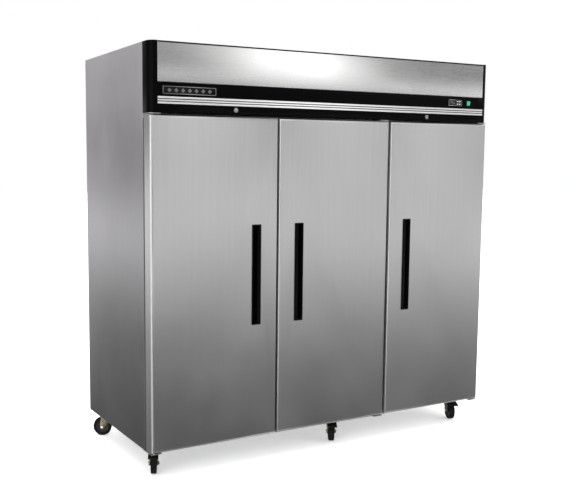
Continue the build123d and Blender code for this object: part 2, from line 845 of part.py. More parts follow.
def caster_fork(x, y, heading):
    leg = extrude(Plane.YZ * fork_leg_outline(), fork_leg)
    fork = rod_z(0, 0, (crown_low_z, crown_top_z), crown_r)
    fork += block((-leg_x, leg_x), (-crown_r + 6, caster_trail - 10), (crown_low_z, crown_low_z + 4))
    fork += Pos(leg_x, 0, 0) * leg
    fork += Pos(-leg_x - fork_leg, 0, 0) * leg
    outer = leg_x + fork_leg
    fork += rod_x((-outer - 3, outer + 3), caster_trail, wheel_r, axle_r - running)
    for side in (-1, 1):
        fork += rod_x((side * outer, side * (outer + 5)), caster_trail, wheel_r, 9)
    fork += rod_x((-outer, outer), brake_pin_y, brake_pin_z, brake_pin_r)
    fork -= rod_z(0, 0, (crown_low_z, crown_top_z), kingpin_r + running)
    return place(x, y, heading, fork)


def caster_wheel(x, y, heading):
    half = wheel_width / 2
    wheel = rod_x((-half, half), caster_trail, wheel_r, wheel_r)
    wheel = fillet(wheel.edges().filter_by(GeomType.CIRCLE), 5)
    for side in (-1, 1):
        dish = rod_x((side * half, side * (half - 5)), caster_trail, wheel_r, wheel_r - 14)
        wheel -= dish - rod_x((side * half, side * (half - 5)), caster_trail, wheel_r, axle_r + 8)
    wheel += rod_x((-half - fork_gap + 0.5, half + fork_gap - 0.5), caster_trail, wheel_r, axle_r + 4)
    wheel -= rod_x((-half - fork_gap, half + fork_gap), caster_trail, wheel_r, axle_r)
    return place(x, y, heading, wheel)


def caster_brake(x, y, heading):
    """Brake pedal over the wheel's trailing side, on the fork's cross pin."""
    half = leg_x - 1
    barrel_r = brake_pin_r + 2.2
    lever = rod_x((-half, half), brake_pin_y, brake_pin_z, barrel_r)
    far_y = caster_trail + 28
    tip_y = caster_trail + wheel_r + 18
    low_z = brake_pin_z - 1
    high_z = brake_pin_z + 3
    profile = [
        (brake_pin_y, low_z),
        (far_y, low_z),
        (tip_y, low_z - 14),
        (tip_y, high_z - 12),
        (far_y, high_z),
        (brake_pin_y, high_z),
    ]
    arm = extrude(Plane.YZ * make_face(Polyline(*profile, close=True)), half, both=True)
    foot = extrude(Plane.YZ * make_face(Polyline(*profile, close=True)), half + 9, both=True)
    foot &= block((-half - 9, half + 9), (far_y - 4, tip_y), (0, caster_height))
    lever += arm + foot
    lever -= rod_x((-half - 1, half + 1), brake_pin_y, brake_pin_z, brake_pin_r + running)
    return place(x, y, heading, lever)


def build_cabinet():
    save("side_panel_left", side_panel(-1))
    save("side_panel_right", side_panel(1))
    save("back_panel", back_panel())
    save("bottom_panel", floor_panel(caster_height, caster_height + sheet, (caster_height, cavity_floor_z)))
    save("deck_panel", floor_panel(header_z - sheet, header_z, (cavity_top_z, header_z)))
    save("foam_insulation", foam_insulation())
    save("inner_liner", inner_liner())
    save("mullions", group([mullion(-mullion_x), mullion(mullion_x)]))
    save("shelf_standards", shelf_standards())
    save("shelf_clips", shelf_clips())
    save("wire_shelves", wire_shelves())


def build_refrigeration():
    save("evaporator_housing", evaporator_housing())
    save("evaporator_coil", evaporator_coil())
    save("fan_motors", fan_motors())
    for name, side in (("left", -1), ("right", 1)):
        wheel = fan(side * evaporator_fan_x, evaporator_fan_y, evaporator_fan_z, evaporator_fan_r, 14, 14, 5, shaft_r)
        save(f"evaporator_fan_{name}", wheel)
    save("condenser_fan", fan(condenser_x, condenser_fan_y, condenser_fan_z, condenser_fan_r, 24, 22, 5, shaft_r))
    save("condenser", condenser())
    save("compressor", compressor())
    save("refrigerant_lines", refrigerant_lines())
    save("control_box", control_box())
    save("cord_gland", cord_gland())


def build_header():
    save("header_end_caps", group([end_cap(-1), end_cap(1)]))
    save("header_fascia", header_fascia())
    save("header_trim_strip", header_trim_strip())
    save("badge_plate", badge_plate())
    save("temperature_controller", temperature_controller())
    save("power_switch", power_switch())
    save("lock_left", lock_barrel(-lock_x))
    save("lock_right", lock_barrel(lock_x))
    save("header_panel", header_panel())


def build_doors():
    save("hinge_brackets", hinge_brackets())
    for name, centre, hinge_side in doors:
        save(f"door_{name}_skin", door_skin_pan(centre, hinge_side))
        save(f"door_{name}_inner_panel", door_core(centre, hinge_side))
        save(f"door_{name}_gasket", door_gasket(centre))
        save(f"door_{name}_handle", door_handle(centre, hinge_side))


def build_casters():
    save("caster_plates", group([caster_plate_solid(x, y) for _, x, y, _, _ in casters]))
    for name, x, y, heading, braked in casters:
        save(f"caster_fork_{name}", caster_fork(x, y, heading))
        save(f"caster_wheel_{name}", caster_wheel(x, y, heading))
        if braked:
            save(f"caster_brake_{name}", caster_brake(x, y, heading))


os.makedirs("parts", exist_ok=True)
build_cabinet()
build_refrigeration()
build_header()
build_doors()
build_casters()
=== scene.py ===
import json
from math import cos, pi, radians, sin

import bmesh
import bpy
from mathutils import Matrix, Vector

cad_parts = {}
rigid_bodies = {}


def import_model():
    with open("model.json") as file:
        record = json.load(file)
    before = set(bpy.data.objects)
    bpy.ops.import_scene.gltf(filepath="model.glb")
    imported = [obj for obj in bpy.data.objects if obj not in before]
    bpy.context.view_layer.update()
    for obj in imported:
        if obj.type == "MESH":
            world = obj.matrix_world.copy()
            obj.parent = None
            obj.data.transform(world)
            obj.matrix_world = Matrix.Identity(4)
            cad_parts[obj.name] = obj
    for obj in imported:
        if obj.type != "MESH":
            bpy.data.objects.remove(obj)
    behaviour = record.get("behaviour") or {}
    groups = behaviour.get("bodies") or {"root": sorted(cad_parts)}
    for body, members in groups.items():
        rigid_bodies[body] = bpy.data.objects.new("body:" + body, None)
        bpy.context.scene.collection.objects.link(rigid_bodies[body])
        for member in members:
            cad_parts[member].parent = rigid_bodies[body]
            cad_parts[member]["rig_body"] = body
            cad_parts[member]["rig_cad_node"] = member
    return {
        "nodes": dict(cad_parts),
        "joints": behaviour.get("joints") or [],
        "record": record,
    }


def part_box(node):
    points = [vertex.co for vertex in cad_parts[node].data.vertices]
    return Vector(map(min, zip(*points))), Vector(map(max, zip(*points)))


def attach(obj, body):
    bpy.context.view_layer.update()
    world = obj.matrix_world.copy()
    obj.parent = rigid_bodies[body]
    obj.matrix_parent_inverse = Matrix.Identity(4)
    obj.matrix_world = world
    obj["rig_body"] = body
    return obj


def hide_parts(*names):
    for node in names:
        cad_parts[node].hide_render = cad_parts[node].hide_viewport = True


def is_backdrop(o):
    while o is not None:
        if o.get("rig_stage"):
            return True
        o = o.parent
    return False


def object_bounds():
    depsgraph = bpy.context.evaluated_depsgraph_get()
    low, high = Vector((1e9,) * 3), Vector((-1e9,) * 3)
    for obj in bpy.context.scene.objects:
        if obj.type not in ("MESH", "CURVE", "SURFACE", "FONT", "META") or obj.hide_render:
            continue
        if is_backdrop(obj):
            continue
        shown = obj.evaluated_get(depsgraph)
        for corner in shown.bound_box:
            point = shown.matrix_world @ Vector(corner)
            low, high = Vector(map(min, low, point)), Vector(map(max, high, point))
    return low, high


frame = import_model()
cad_low, cad_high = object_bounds()
MM = 0.001
MERGE_GAP = 0.02 * MM
NODE_BODY = {node: body for body, nodes in frame["record"]["behaviour"]["bodies"].items() for node in nodes}


# ---------------------------------------------------------------- making and finishing
def deselect():
    bpy.ops.object.select_all(action="DESELECT")


def only(piece):
    deselect()
    piece.select_set(True)
    bpy.context.view_layer.objects.active = piece


def apply_place(piece):
    only(piece)
    bpy.ops.object.transform_apply(location=True, rotation=True, scale=True)
    return piece


def block(name, low, high):
    low, high = Vector(low), Vector(high)
    deselect()
    bpy.ops.mesh.primitive_cube_add(size=1, location=(low + high) / 2)
    piece = bpy.context.object
    piece.name = name
    piece.scale = high - low
    return apply_place(piece)


def rod(name, start, end, radius, sides=32):
    start, end = Vector(start), Vector(end)
    deselect()
    bpy.ops.mesh.primitive_cylinder_add(vertices=sides, radius=radius, depth=(end - start).length)
    piece = bpy.context.object
    piece.name = name
    piece.rotation_euler = (end - start).to_track_quat("Z", "Y").to_euler()
    piece.location = (start + end) / 2
    return apply_place(piece)


def ring(name, centre, axis, radius, wire, sides=48, around=10):
    deselect()
    bpy.ops.mesh.primitive_torus_add(
        major_radius=radius, minor_radius=wire, major_segments=sides, minor_segments=around, location=centre
    )
    piece = bpy.context.object
    piece.name = name
    piece.rotation_euler = Vector(axis).to_track_quat("Z", "Y").to_euler()
    return apply_place(piece)


def edit(piece, mode="FACE"):
    """Opens a piece in edit mode with nothing selected and returns its bmesh."""
    only(piece)
    bpy.ops.object.mode_set(mode="EDIT")
    bpy.ops.mesh.select_mode(type=mode)
    bpy.ops.mesh.select_all(action="DESELECT")
    return bmesh.from_edit_mesh(piece.data)


def pick_faces(piece, test):
    """Selects the faces whose centre and normal pass the test, in edit mode."""
    shape = edit(piece)
    for face in shape.faces:
        face.select = test(face.calc_center_median(), face.normal)
    bmesh.update_edit_mesh(piece.data)


def pick_edges(piece, test):
    """Selects the edges whose two ends pass the test, in edit mode."""
    shape = edit(piece, "EDGE")
    for edge in shape.edges:
        edge.select = test(edge.verts[0].co, edge.verts[1].co)
    bmesh.update_edit_mesh(piece.data)


def close_edit():
    bpy.ops.object.mode_set(mode="OBJECT")


def modifier(piece, kind, **settings):
    """Adds a modifier and applies it."""
    only(piece)
    made = piece.modifiers.new(kind.title(), kind)
    for name, value in settings.items():
        setattr(made, name, value)
    bpy.ops.object.modifier_apply(modifier=made.name)
    return piece


def soften(piece, width, segments=2, angle=30):
    limit = radians(angle)
    return modifier(piece, "BEVEL", width=width, segments=segments, limit_method="ANGLE", angle_limit=limit)


def join(name, pieces):
    deselect()
    for piece in pieces:
        piece.select_set(True)
    bpy.context.view_layer.objects.active = pieces[0]
    if len(pieces) > 1:
        bpy.ops.object.join()
    pieces[0].name = name
    return pieces[0]


def copy_moved(piece, offset):
    only(piece)
    bpy.ops.object.duplicate()
    copy = bpy.context.object
    copy.location = Vector(offset)
    return apply_place(copy)


def repeat(piece, count, step):
    offset = {"use_relative_offset": False, "use_constant_offset": True, "constant_offset_displace": step}
    return modifier(piece, "ARRAY", count=count, **offset)


def sink(piece, test, border, depth):
    """Leaves a border round the picked faces, and pushes the rest of them in."""
    pick_faces(piece, test)
    bpy.ops.mesh.inset(thickness=border)
    bpy.ops.mesh.inset(thickness=min(border, depth) * 0.1, depth=-depth)
    close_edit()
    return piece


def solid_boxes(node):
    """The lowest and highest corners of each separate solid in a CAD node."""
    shape = bmesh.new()
    shape.from_mesh(frame["nodes"][node].data)
    bmesh.ops.remove_doubles(shape, verts=shape.verts, dist=MERGE_GAP)
    waiting = set(shape.verts)
    boxes = []
    while waiting:
        reached = [waiting.pop()]
        for vert in reached:
            for edge in vert.link_edges:
                other = edge.other_vert(vert)
                if other in waiting:
                    waiting.remove(other)
                    reached.append(other)
        spots = [vert.co for vert in reached]
        low = Vector([min(spot[axis] for spot in spots) for axis in range(3)])
        high = Vector([max(spot[axis] for spot in spots) for axis in range(3)])
        boxes.append((low, high))
    shape.free()
    return sorted(boxes, key=lambda box: tuple(round(value, 4) for value in box[0]))


def finish(piece, body, material, nodes=()):
    """Gives a finished piece its material, and hangs it on its body."""
    only(piece)
    bpy.ops.object.shade_smooth_by_angle(angle=radians(35))
    piece.data.materials.clear()
    piece.data.materials.append(material)
    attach(piece, body)
    if nodes:
        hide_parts(*nodes)
    return piece


def merged_copy(node):
    only(frame["nodes"][node])
    bpy.ops.object.duplicate()
    piece = bpy.context.object
    piece.parent = None
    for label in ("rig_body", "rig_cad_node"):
        del piece[label]
    piece.name = node + "_finished"
    edit(piece, "VERT")
    bpy.ops.mesh.select_all(action="SELECT")
    bpy.ops.mesh.remove_doubles(threshold=MERGE_GAP)
    bpy.ops.mesh.dissolve_limited(angle_limit=radians(0.4))
    close_edit()
    return piece


def stand_for(piece, node, material):
    finish(piece, NODE_BODY[node], material, [node])


def dress(node, material, bevel):
    """A merged, edge-softened copy of a CAD node, which stands for it."""
    piece = merged_copy(node)
    if bevel:
        soften(piece, bevel)
    stand_for(piece, node, material)


def screws(name, places, axis, radius, proud):
    """Button-head screws with a socket, one at each place."""
    axis = Vector(axis)
    first = Vector(places[0])
    head = rod(name, first - axis * 1 * MM, first + axis * proud, radius, 16)
    sink(head, lambda centre, normal: normal.dot(axis) > 0.9, radius * 0.45, proud * 0.5)
    soften(head, proud * 0.25, 2, 40)
    others = [copy_moved(head, Vector(place) - first) for place in places[1:]]
    return join(name, [head] + others)


# ---------------------------------------------------------------- materials
class Finish:
    """A principled material with short calls for the nodes that feed it."""

    def __init__(self, name, color, roughness, metallic=0.0, **settings):
        self.material = bpy.data.materials.new(name)
        self.material.use_nodes = True
        self.tree = self.material.node_tree
        self.shader = self.tree.nodes["Principled BSDF"]
        self.shader.inputs["Base Color"].default_value = (*color, 1.0)
        self.shader.inputs["Roughness"].default_value = roughness
        self.shader.inputs["Metallic"].default_value = metallic
        for key, value in settings.items():
            self.shader.inputs[key.replace("_", " ")].default_value = value
        self.place = self.tree.nodes.new("ShaderNodeTexCoord").outputs["Object"]

    def node(self, kind, **settings):
        made = self.tree.nodes.new(kind)
        for key, value in settings.items():
            setattr(made, key, value)
        return made

    def link(self, source, target):
        self.tree.links.new(source, target)

    def stretched(self, scale):
        mapping = self.node("ShaderNodeMapping")
        mapping.inputs["Scale"].default_value = scale
        self.link(self.place, mapping.inputs["Vector"])
        return mapping.outputs["Vector"]

    def noise(self, scale=(1, 1, 1), size=1.0, detail=3.0, rough=0.5, distortion=0.0):
        made = self.node("ShaderNodeTexNoise")
        made.inputs["Scale"].default_value = size
        made.inputs["Detail"].default_value = detail
        made.inputs["Roughness"].default_value = rough
        made.inputs["Distortion"].default_value = distortion
        self.link(self.stretched(scale), made.inputs["Vector"])
        return made.outputs["Fac"]

    def voronoi(self, size, feature="F1"):
        made = self.node("ShaderNodeTexVoronoi", feature=feature)
        made.inputs["Scale"].default_value = size
        self.link(self.stretched((1, 1, 1)), made.inputs["Vector"])
        return made

    def ramp(self, source, stops):
        made = self.node("ShaderNodeValToRGB")
        elements = made.color_ramp.elements
        for index, (place, color) in enumerate(stops):
            element = elements[index] if index < 2 else elements.new(place)
            element.position = place
            element.color = (*color, 1.0)
        self.link(source, made.inputs["Fac"])
        return made.outputs["Color"]

    def span(self, source, low, high, from_low=0.0, from_high=1.0):
        made = self.node("ShaderNodeMapRange")
        made.inputs["From Min"].default_value = from_low
        made.inputs["From Max"].default_value = from_high
        made.inputs["To Min"].default_value = low
        made.inputs["To Max"].default_value = high
        self.link(source, made.inputs["Value"])
        return made.outputs["Result"]

    def blend(self, factor, first, second):
        made = self.node("ShaderNodeMix", data_type="RGBA")
        for slot, value in ((0, factor), (6, first), (7, second)):
            socket = made.inputs[slot]
            if isinstance(value, bpy.types.NodeSocket):
                self.link(value, socket)
            elif slot:
                socket.default_value = (*value, 1.0)
            else:
                socket.default_value = value
        return made.outputs[2]

    def height(self, axis):
        made = self.node("ShaderNodeSeparateXYZ")
        self.link(self.place, made.inputs["Vector"])
        return made.outputs[axis]

    def bump(self, source, strength, distance=0.001):
        made = self.node("ShaderNodeBump")
        made.inputs["Strength"].default_value = strength
        made.inputs["Distance"].default_value = distance
        self.link(source, made.inputs["Height"])
        self.link(made.outputs["Normal"], self.shader.inputs["Normal"])

    def color(self, source):
        self.link(source, self.shader.inputs["Base Color"])

    def roughness(self, source):
        self.link(source, self.shader.inputs["Roughness"])


def worn_plastic(name, color, roughness, grain=900.0, strength=0.06, wear=0.25, **settings):
    """Moulded plastic: fine spark grain, faint cloudy wear in its gloss."""
    surface = Finish(name, color, roughness, **settings)
    cloud = surface.noise(size=7.0, detail=4.0)
    lighter = tuple(min(1.0, part * 1.5 + 0.003) for part in color)
    surface.color(surface.blend(surface.span(cloud, 0.0, wear, 0.35, 0.75), color, lighter))
    surface.roughness(surface.span(cloud, roughness - 0.06, roughness + 0.1, 0.3, 0.7))
    surface.bump(surface.noise(size=grain, detail=2.0), strength, 0.0004)
    return surface.material


def steel(name, grain, light, roughness, painted_fade=None, metallic=1.0):
    """Brushed stainless: hair lines along the grain and smudges.

    The last argument paints a reflection of the room into the tone: it gives the colour that the tone turns
    to at its foot, and the heights of its foot and its top.
    """
    turn = 0.0 if grain == "Z" else 0.25
    surface = Finish(name, light, roughness, metallic=metallic, Anisotropic=0.8, Anisotropic_Rotation=turn)
    across = {"Z": (900, 900, 5), "X": (5, 900, 900)}[grain]
    hair = surface.noise(scale=across, detail=4.0, rough=0.6)
    broad = surface.noise(scale=tuple(part / 12 for part in across), detail=2.0)
    smudge = surface.noise(size=2.6, detail=5.0, rough=0.55, distortion=0.3)
    scratched = tuple(part * 0.90 for part in light)
    dulled = tuple(part * 0.86 for part in light)
    tone = surface.blend(surface.span(hair, 0.0, 1.0, 0.3, 0.7), scratched, light)
    tone = surface.blend(surface.span(broad, 0.0, 0.25, 0.35, 0.65), tone, dulled)
    # Painted reflection: the tone turns to the foot colour towards the bottom of the surface.
    if painted_fade is not None:
        painted_foot_color, foot, top = painted_fade
        tone = surface.blend(surface.span(surface.height("Z"), 1.0, 0.0, foot, top), tone, painted_foot_color)
    surface.color(tone)
    hair_gloss = surface.span(hair, roughness - 0.05, roughness + 0.07, 0.3, 0.7)
    smudge_gloss = surface.span(smudge, roughness - 0.06, roughness + 0.12, 0.35, 0.7)
    surface.roughness(surface.blend(0.35, hair_gloss, smudge_gloss))
    surface.bump(hair, 0.05, 0.0002)
    tangent = surface.node("ShaderNodeTangent", direction_type="RADIAL", axis="Z")
    surface.link(tangent.outputs["Tangent"], surface.shader.inputs["Tangent"])
    return surface.material


def galvanised():
    surface = Finish("galvanised_sheet", (0.50, 0.51, 0.52), 0.42, metallic=1.0)
    spangle = surface.voronoi(85.0)
    flake = surface.ramp(spangle.outputs["Color"], [(0.0, (0.52, 0.53, 0.55)), (1.0, (0.66, 0.67, 0.68))])
    dust = surface.noise(size=5.0, detail=5.0)
    surface.color(surface.blend(surface.span(dust, 0.0, 0.35, 0.45, 0.75), flake, (0.42, 0.41, 0.39)))
    surface.roughness(surface.span(spangle.outputs["Distance"], 0.34, 0.55, 0.0, 0.6))
    surface.bump(spangle.outputs["Distance"], 0.03, 0.0003)
    return surface.material


def plated(name, color, tint, roughness):
    """Zinc plate: passivate colour drifts over the metal, dull patches gather at random."""
    surface = Finish(name, color, roughness, metallic=1.0)
    drift = surface.noise(size=30.0, detail=4.0, distortion=0.8)
    surface.color(surface.ramp(drift, [(0.35, color), (0.65, tint)]))
    dull = surface.noise(size=60.0, detail=5.0)
    surface.roughness(surface.span(dull, roughness - 0.08, roughness + 0.18, 0.3, 0.7))
    surface.bump(surface.noise(size=700.0), 0.05, 0.0003)
    return surface.material


def painted(name, color, roughness, peel=0.08):
    surface = Finish(name, color, roughness, Coat_Weight=0.25)
    dust = surface.noise(size=11.0, detail=5.0)
    dusty = tuple(part * 0.75 + 0.045 for part in color)
    surface.color(surface.blend(surface.span(dust, 0.0, 0.4, 0.45, 0.8), color, dusty))
    surface.roughness(surface.span(dust, roughness - 0.05, roughness + 0.15, 0.3, 0.75))
    surface.bump(surface.noise(size=320.0, detail=2.0), peel, 0.0004)
    return surface.material


def tread_rubber():
    surface = Finish("wheel_rubber", (0.004, 0.004, 0.004), 0.6, Specular_IOR_Level=0.08)
    dust = surface.noise(size=45.0, detail=6.0, rough=0.6)
    surface.color(surface.ramp(dust, [(0.35, (0.0025, 0.0025, 0.0025)), (0.78, (0.014, 0.013, 0.011))]))
    surface.roughness(surface.span(dust, 0.5, 0.8, 0.3, 0.7))
    surface.bump(surface.noise(size=500.0, detail=4.0), 0.15, 0.0006)
    return surface.material


def copper():
    surface = Finish("copper", (0.72, 0.36, 0.22), 0.3, metallic=1.0)
    stain = surface.noise(size=28.0, detail=5.0, distortion=0.6)
    stops = [(0.3, (0.80, 0.42, 0.27)), (0.6, (0.55, 0.26, 0.15)), (0.85, (0.22, 0.13, 0.09))]
    surface.color(surface.ramp(stain, stops))
    surface.roughness(surface.span(stain, 0.22, 0.5, 0.3, 0.8))
    return surface.material


def foam():
    surface = Finish("insulation", (0.80, 0.70, 0.42), 0.9)
    cell = surface.voronoi(420.0)
    stops = [(0.0, (0.86, 0.77, 0.50)), (0.7, (0.66, 0.55, 0.30))]
    surface.color(surface.ramp(cell.outputs["Distance"], stops))
    surface.bump(cell.outputs["Distance"], 0.4, 0.001)
    return surface.material


def embossed_liner():
    """Stucco-embossed aluminium inner walls."""
    surface = Finish("liner_metal", (0.80, 0.81, 0.82), 0.34, metallic=1.0)
    pebble = surface.voronoi(130.0, "SMOOTH_F1")
    haze = surface.span(surface.noise(size=3.0), 0.0, 0.4, 0.4, 0.7)
    surface.color(surface.blend(haze, (0.82, 0.83, 0.84), (0.70, 0.71, 0.73)))
    surface.roughness(surface.span(pebble.outputs["Distance"], 0.26, 0.42, 0.0, 0.6))
    surface.bump(pebble.outputs["Distance"], 0.35, 0.0008)
    return surface.material


def lit(name, color, glow, strength):
    surface = Finish(name, color, 0.25, Coat_Weight=0.5)
    surface.shader.inputs["Emission Color"].default_value = (*glow, 1.0)
    surface.shader.inputs["Emission Strength"].default_value = strength
    cloud = surface.noise(size=160.0, detail=3.0)
    deeper = tuple(part * 0.7 for part in color)
    surface.color(surface.blend(surface.span(cloud, 0.0, 0.5, 0.3, 0.7), color, deeper))
    surface.bump(surface.noise(size=600.0), 0.03, 0.0003)
    return surface.material


door_low, door_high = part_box("door_left_skin")
panel_low, panel_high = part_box("header_panel")
# Painted reflections in the base colour: the doors and the sides turn darker towards the floor, a painted
# reflection of the darker floor.
DOOR_PAINTED_REFLECTION = ((0.42, 0.42, 0.42), door_low.z, door_high.z * 0.82)
SIDE_PAINTED_REFLECTION = ((0.19, 0.19, 0.19), door_low.z, cad_high.z)
# The header panel turns lighter towards its foot: a painted highlight that evens out its reflection from
# top to bottom.
HEADER_PAINTED_HIGHLIGHT = ((0.96, 0.96, 0.955), panel_low.z, panel_high.z)
MOULDING_BLACK = (0.001, 0.001, 0.0012)
HANDLE_BLACK = (0.0012, 0.0012, 0.0014)
DULL = {"strength": 0.03, "wear": 0.1}
stainless_door = steel("brushed_stainless_door", "Z", (0.66, 0.655, 0.655), 0.36, DOOR_PAINTED_REFLECTION)
stainless_side = steel("brushed_stainless_side", "Z", (0.71, 0.69, 0.715), 0.42, SIDE_PAINTED_REFLECTION)
stainless_header = steel("brushed_stainless_header", "X", (0.76, 0.76, 0.755), 0.27, HEADER_PAINTED_HIGHLIGHT)
stainless_frame = steel("brushed_stainless_frame", "Z", (0.60, 0.60, 0.60), 0.36)
black_moulding = worn_plastic("black_moulding", MOULDING_BLACK, 0.30, Specular_IOR_Level=0.03, **DULL)
handle_black = worn_plastic("handle_black", HANDLE_BLACK, 0.36, Specular_IOR_Level=0.05, **DULL)
trim_silver = steel("silver_trim", "X", (0.74, 0.74, 0.74), 0.3, metallic=0.6)
groove_grey = steel("groove_shadow", "X", (0.10, 0.10, 0.105), 0.45)
mark_grey = steel("badge_marks", "X", (0.20, 0.20, 0.20), 0.4)
gasket_grey = worn_plastic("gasket_vinyl", (0.10, 0.10, 0.105), 0.6, grain=400.0)
zinc = plated("zinc_plate", (0.22, 0.20, 0.12), (0.12, 0.115, 0.08), 0.4)
bright_zinc = plated("bright_zinc", (0.70, 0.70, 0.72), (0.60, 0.61, 0.64), 0.28)
rubber = tread_rubber()
pedal_black = worn_plastic("pedal_plastic", (0.005, 0.005, 0.005), 0.42, Specular_IOR_Level=0.15)
sheet_zinc = galvanised()
foam_yellow = foam()
liner_metal = embossed_liner()
fan_black = worn_plastic("fan_plastic", (0.02, 0.02, 0.02), 0.45)
motor_paint = painted("motor_case", (0.10, 0.10, 0.105), 0.4)
compressor_black = painted("compressor_paint", (0.012, 0.012, 0.013), 0.32, 0.15)
box_grey = painted("box_paint", (0.38, 0.39, 0.39), 0.45)
copper_pipe = copper()
wire_white = painted("shelf_wire", (0.74, 0.75, 0.75), 0.3, 0.03)
fins = steel("fin_aluminium", "X", (0.66, 0.67, 0.68), 0.4)
badge_dark = steel("badge_metal", "X", (0.018, 0.019, 0.02), 0.34)
badge_bright = steel("badge_rim", "X", (0.60, 0.60, 0.60), 0.3)
case_grey = worn_plastic("controller_case", (0.006, 0.006, 0.0065), 0.4, Specular_IOR_Level=0.08)
display_black = worn_plastic("display_window", (0.004, 0.004, 0.005), 0.1)
lamp_green = lit("switch_green", (0.01, 0.27, 0.16), (0.02, 0.60, 0.36), 0.14)
digit_dim = lit("display_digits", (0.05, 0.055, 0.06), (0.45, 0.55, 0.60), 0.12)
lamp_white = lit("lamp_lens", (0.85, 0.87, 0.90), (0.92, 0.96, 1.0), 1.2)
hub_grey = worn_plastic("wheel_hub", (0.014, 0.014, 0.014), 0.45, Specular_IOR_Level=0.2)
lock_bright = plated("lock_chrome", (0.42, 0.42, 0.43), (0.34, 0.34, 0.35), 0.3)
nylon_black = worn_plastic("gland_nylon", (0.015, 0.015, 0.015), 0.4)


# ---------------------------------------------------------------- CAD nodes that keep their shape
SHEET_EDGE = 0.5 * MM
MOULDED_EDGE = 1.2 * MM
SIMPLE = (
    ("side_panel_left", stainless_side, SHEET_EDGE),
    ("side_panel_right", stainless_side, SHEET_EDGE),
    ("back_panel", sheet_zinc, 0.0),
    ("bottom_panel", sheet_zinc, SHEET_EDGE),
    ("deck_panel", sheet_zinc, SHEET_EDGE),
    ("foam_insulation", foam_yellow, 0.0),
    ("inner_liner", liner_metal, 0.0),
    ("mullions", stainless_frame, SHEET_EDGE),
    ("shelf_clips", bright_zinc, 1.5 * MM),
    ("evaporator_housing", liner_metal, SHEET_EDGE),
    ("fan_motors", motor_paint, 1.0 * MM),
    ("evaporator_fan_left", fan_black, 0.5 * MM),
    ("evaporator_fan_right", fan_black, 0.5 * MM),
    ("condenser_fan", fan_black, 0.5 * MM),
    ("compressor", compressor_black, 1.0 * MM),
    ("refrigerant_lines", copper_pipe, 0.0),
    ("control_box", box_grey, 1.0 * MM),
    ("cord_gland", nylon_black, 0.6 * MM),
    ("header_end_caps", black_moulding, MOULDED_EDGE),
    ("header_fascia", black_moulding, 0.6 * MM),
    ("badge_plate", badge_dark, 0.3 * MM),
    ("temperature_controller", case_grey, 0.4 * MM),
    ("power_switch", lamp_green, 1.0 * MM),
    ("lock_left", lock_bright, 0.5 * MM),
    ("lock_right", lock_bright, 0.5 * MM),
    ("header_panel", stainless_header, 0.8 * MM),
    ("hinge_brackets", stainless_frame, 0.8 * MM),
    ("caster_plates", zinc, 0.8 * MM),
)
for node, material, bevel in SIMPLE:
    dress(node, material, bevel)
for node in NODE_BODY:
    if node.startswith("caster_fork"):
        dress(node, zinc, 0.8 * MM)
    elif node.startswith("caster_wheel"):
        dress(node, rubber, 0.8 * MM)
    elif node.startswith("caster_brake"):
        dress(node, pedal_black, 1.0 * MM)


# ---------------------------------------------------------------- doors
DOOR_BEND = 16.0 * MM
SKIN = 1.5 * MM


def roll_front_edges(piece, low, high, bend):
    """Rolls the edges of a door sheet's front, whose outline ends at the low and high corners."""
    near = 0.2 * MM

    def outline(first, second):
        in_face = abs(first.y - low.y) < near and abs(second.y - low.y) < near
        at_side = min(abs(first.x - low.x), abs(first.x - high.x)) < near
        at_end = min(abs(first.z - low.z), abs(first.z - high.z)) < near
        upright = abs(first.x - second.x) < near and at_side
        level = abs(first.z - second.z) < near and at_end
        return in_face and (upright or level)

    pick_edges(piece, outline)
    bpy.ops.mesh.bevel(offset=bend, segments=8, affect="EDGES", clamp_overlap=False)
    close_edit()


def door_sheets(door):
    """The outer steel pan with its rolled edges, and the foamed inner door behind it."""
    low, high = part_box(f"door_{door}_skin")
    sheets = (("skin", stainless_door, (0.0, SKIN)), ("inner_panel", liner_metal, (SKIN,)))
    for part, material, insets in sheets:
        node = f"door_{door}_{part}"
        piece = merged_copy(node)
        for inset in insets:
            margin = Vector((inset, inset, inset))
            roll_front_edges(piece, low + margin, high - margin, DOOR_BEND - inset)
        if part == "inner_panel":
            soften(piece, 0.8 * MM)
        stand_for(piece, node, material)


def door_gasket(door):
    """The magnetic seal, with a groove sunk in its face between its lips."""
    node = f"door_{door}_gasket"
    piece = merged_copy(node)
    sink(piece, lambda centre, normal: normal.y > 0.9, 3.0 * MM, 2.5 * MM)
    soften(piece, 0.8 * MM)
    stand_for(piece, node, gasket_grey)


for door in ("left", "middle", "right"):
    door_sheets(door)
    door_gasket(door)
    dress(f"door_{door}_handle", handle_black, 0.8 * MM)


# ---------------------------------------------------------------- shelves and their posts
SLAT_PITCH = 22 * MM
SLAT_R = 1.9 * MM
BAR_R = 2.5 * MM
CROWN = 1 * MM
SLOT_PITCH = 25 * MM
SLOT_BORDER = 7 * MM
SLOT_DEPTH = 4 * MM


